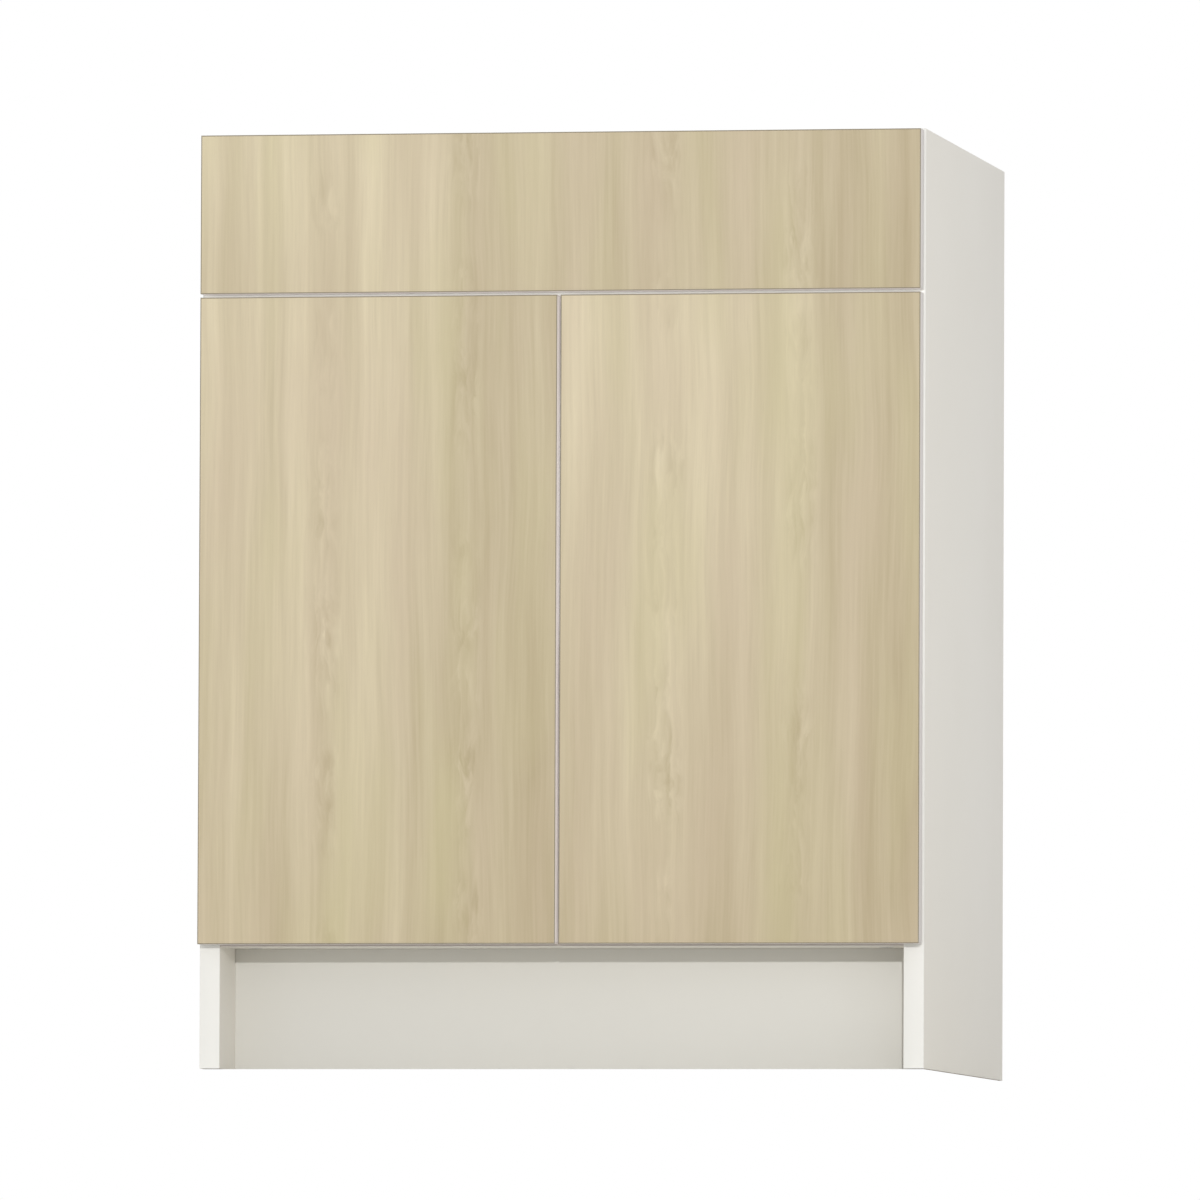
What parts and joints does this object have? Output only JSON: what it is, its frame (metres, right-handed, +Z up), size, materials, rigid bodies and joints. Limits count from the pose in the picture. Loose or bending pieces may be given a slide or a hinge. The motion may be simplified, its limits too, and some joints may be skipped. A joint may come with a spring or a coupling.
{
  "type": "vanity cabinet",
  "caption": "Frameless bathroom vanity base with handleless full-overlay doors under a wide top drawer, recessed kickboard and plain side panels.",
  "frame": {"origin": "middle of the cabinet's footprint, on the floor", "axes": "+Z up, fronts face -Y, back against the wall at +Y, X across the width"},
  "size_m": [0.6858, 0.5334, 0.8763],
  "materials": {
    "oak_laminate": "satin",
    "light_edging": "satin",
    "white_melamine": "satin",
    "back_board": "satin",
    "drawer_board": "satin",
    "raw_wood": "matte",
    "zinc_steel": "satin",
    "grey_plastic": "matte",
    "clear_rubber": "satin"
  },
  "bodies": {
    "carcass": {"side_panel_left": "white_melamine", "side_panel_right": "white_melamine", "bottom_panel": "white_melamine", "front_stretcher": "white_melamine", "rear_stretcher": "white_melamine", "divider_rail": "white_melamine", "back_panel": "back_board", "hanging_rail": "white_melamine", "lower_back_rail": "white_melamine", "kickboard": "white_melamine", "kick_blocks": "raw_wood", "shelf": "white_melamine", "shelf_pins": "zinc_steel", "carcass_edging": "light_edging", "bumpers": "clear_rubber", "cam_locks": "zinc_steel", "cam_bolts": "zinc_steel", "dowels": "raw_wood", "system_screws": "zinc_steel", "hinge_plates": "zinc_steel", "hinge_arms": "zinc_steel", "adjusting_screws": "zinc_steel", "slide_outer_left": "zinc_steel", "slide_outer_right": "zinc_steel", "latch_housings": "grey_plastic", "latch_screws": "zinc_steel"},
    "drawer": {"drawer_front": "oak_laminate", "drawer_front_edging": "light_edging", "drawer_side_left": "drawer_board", "drawer_side_right": "drawer_board", "drawer_box_front": "drawer_board", "drawer_back_left": "drawer_board", "drawer_back_right": "drawer_board", "notch_side_left": "drawer_board", "notch_side_right": "drawer_board", "notch_front": "drawer_board", "drawer_bottom": "drawer_board", "slide_inner_left": "zinc_steel", "slide_inner_right": "zinc_steel", "drawer_screws": "zinc_steel"},
    "slide_middle_left": {"slide_middle_left": "zinc_steel"},
    "outer_ball_retainer_left": {"outer_ball_retainer_left": "zinc_steel"},
    "inner_ball_retainer_left": {"inner_ball_retainer_left": "zinc_steel"},
    "slide_middle_right": {"slide_middle_right": "zinc_steel"},
    "outer_ball_retainer_right": {"outer_ball_retainer_right": "zinc_steel"},
    "inner_ball_retainer_right": {"inner_ball_retainer_right": "zinc_steel"},
    "outer_links_left": {"outer_links_left": "zinc_steel"},
    "inner_links_left": {"inner_links_left": "zinc_steel"},
    "door_left": {"door_left": "oak_laminate", "door_edging_left": "light_edging", "hinge_cups_left": "zinc_steel"},
    "latch_plunger_left": {"latch_plunger_left": "grey_plastic"},
    "outer_links_right": {"outer_links_right": "zinc_steel"},
    "inner_links_right": {"inner_links_right": "zinc_steel"},
    "door_right": {"door_right": "oak_laminate", "door_edging_right": "light_edging", "hinge_cups_right": "zinc_steel"},
    "latch_plunger_right": {"latch_plunger_right": "grey_plastic"},
    "latch_plunger_drawer": {"latch_plunger_drawer": "grey_plastic"}
  },
  "joints": [
    {"name": "drawer_slide", "type": "slide", "parent": "carcass", "child": "drawer", "axis": [0, -1, 0], "range_m": [0, 0.432]},
    {"name": "slide_middle_left_travel", "type": "slide", "parent": "carcass", "child": "slide_middle_left", "axis": [0, -1, 0], "range_m": [0, 0.2161]},
    {"name": "outer_ball_retainer_left_travel", "type": "slide", "parent": "carcass", "child": "outer_ball_retainer_left", "axis": [0, -1, 0], "range_m": [0, 0.1081]},
    {"name": "inner_ball_retainer_left_travel", "type": "slide", "parent": "carcass", "child": "inner_ball_retainer_left", "axis": [0, -1, 0], "range_m": [0, 0.3241]},
    {"name": "slide_middle_right_travel", "type": "slide", "parent": "carcass", "child": "slide_middle_right", "axis": [0, -1, 0], "range_m": [0, 0.2161]},
    {"name": "outer_ball_retainer_right_travel", "type": "slide", "parent": "carcass", "child": "outer_ball_retainer_right", "axis": [0, -1, 0], "range_m": [0, 0.1081]},
    {"name": "inner_ball_retainer_right_travel", "type": "slide", "parent": "carcass", "child": "inner_ball_retainer_right", "axis": [0, -1, 0], "range_m": [0, 0.3241]},
    {"name": "outer_links_left_turn", "type": "hinge", "parent": "carcass", "child": "outer_links_left", "pos_m": [-0.3161, -0.23675, 0.4191], "axis": [0, 0, -1], "range_deg": [-30.1, 0]},
    {"name": "door_left_swing", "type": "hinge", "parent": "outer_links_left", "child": "door_left", "pos_m": [-0.3316, -0.25405, 0.4191], "axis": [0, 0, -1], "range_deg": [0, 130]},
    {"name": "inner_links_left_turn", "type": "hinge", "parent": "door_left", "child": "inner_links_left", "pos_m": [-0.32735, -0.25519, 0.4191], "axis": [0, 0, -1], "range_deg": [-130.1, 0]},
    {"name": "latch_plunger_left_travel", "type": "slide", "parent": "carcass", "child": "latch_plunger_left", "axis": [0, -1, 0], "range_m": [0, 0.018]},
    {"name": "outer_links_right_turn", "type": "hinge", "parent": "carcass", "child": "outer_links_right", "pos_m": [0.3161, -0.23675, 0.4191], "axis": [0, 0, 1], "range_deg": [-30.1, 0]},
    {"name": "door_right_swing", "type": "hinge", "parent": "outer_links_right", "child": "door_right", "pos_m": [0.3316, -0.25405, 0.4191], "axis": [0, 0, 1], "range_deg": [0, 130]},
    {"name": "inner_links_right_turn", "type": "hinge", "parent": "door_right", "child": "inner_links_right", "pos_m": [0.32735, -0.25519, 0.4191], "axis": [0, 0, 1], "range_deg": [-130.1, 0]},
    {"name": "latch_plunger_right_travel", "type": "slide", "parent": "carcass", "child": "latch_plunger_right", "axis": [0, -1, 0], "range_m": [0, 0.018]},
    {"name": "latch_plunger_drawer_travel", "type": "slide", "parent": "carcass", "child": "latch_plunger_drawer", "axis": [0, -1, 0], "range_m": [0, 0.018]}
  ],
  "couplings": [
    {"joint": "slide_middle_left_travel", "follows": "drawer_slide", "ratio": 0.5},
    {"joint": "outer_ball_retainer_left_travel", "follows": "drawer_slide", "ratio": 0.25},
    {"joint": "inner_ball_retainer_left_travel", "follows": "drawer_slide", "ratio": 0.75},
    {"joint": "slide_middle_right_travel", "follows": "drawer_slide", "ratio": 0.5},
    {"joint": "outer_ball_retainer_right_travel", "follows": "drawer_slide", "ratio": 0.25},
    {"joint": "inner_ball_retainer_right_travel", "follows": "drawer_slide", "ratio": 0.75},
    {"joint": "outer_links_left_turn", "follows": "door_left_swing", "ratio": -0.23077},
    {"joint": "inner_links_left_turn", "follows": "door_left_swing", "ratio": -1},
    {"joint": "latch_plunger_left_travel", "follows": "door_left_swing", "m_per_rad": 0.0075},
    {"joint": "outer_links_right_turn", "follows": "door_right_swing", "ratio": -0.23077},
    {"joint": "inner_links_right_turn", "follows": "door_right_swing", "ratio": -1},
    {"joint": "latch_plunger_right_travel", "follows": "door_right_swing", "m_per_rad": 0.0075},
    {"joint": "latch_plunger_drawer_travel", "follows": "drawer_slide", "ratio": 0.0416}
  ]
}
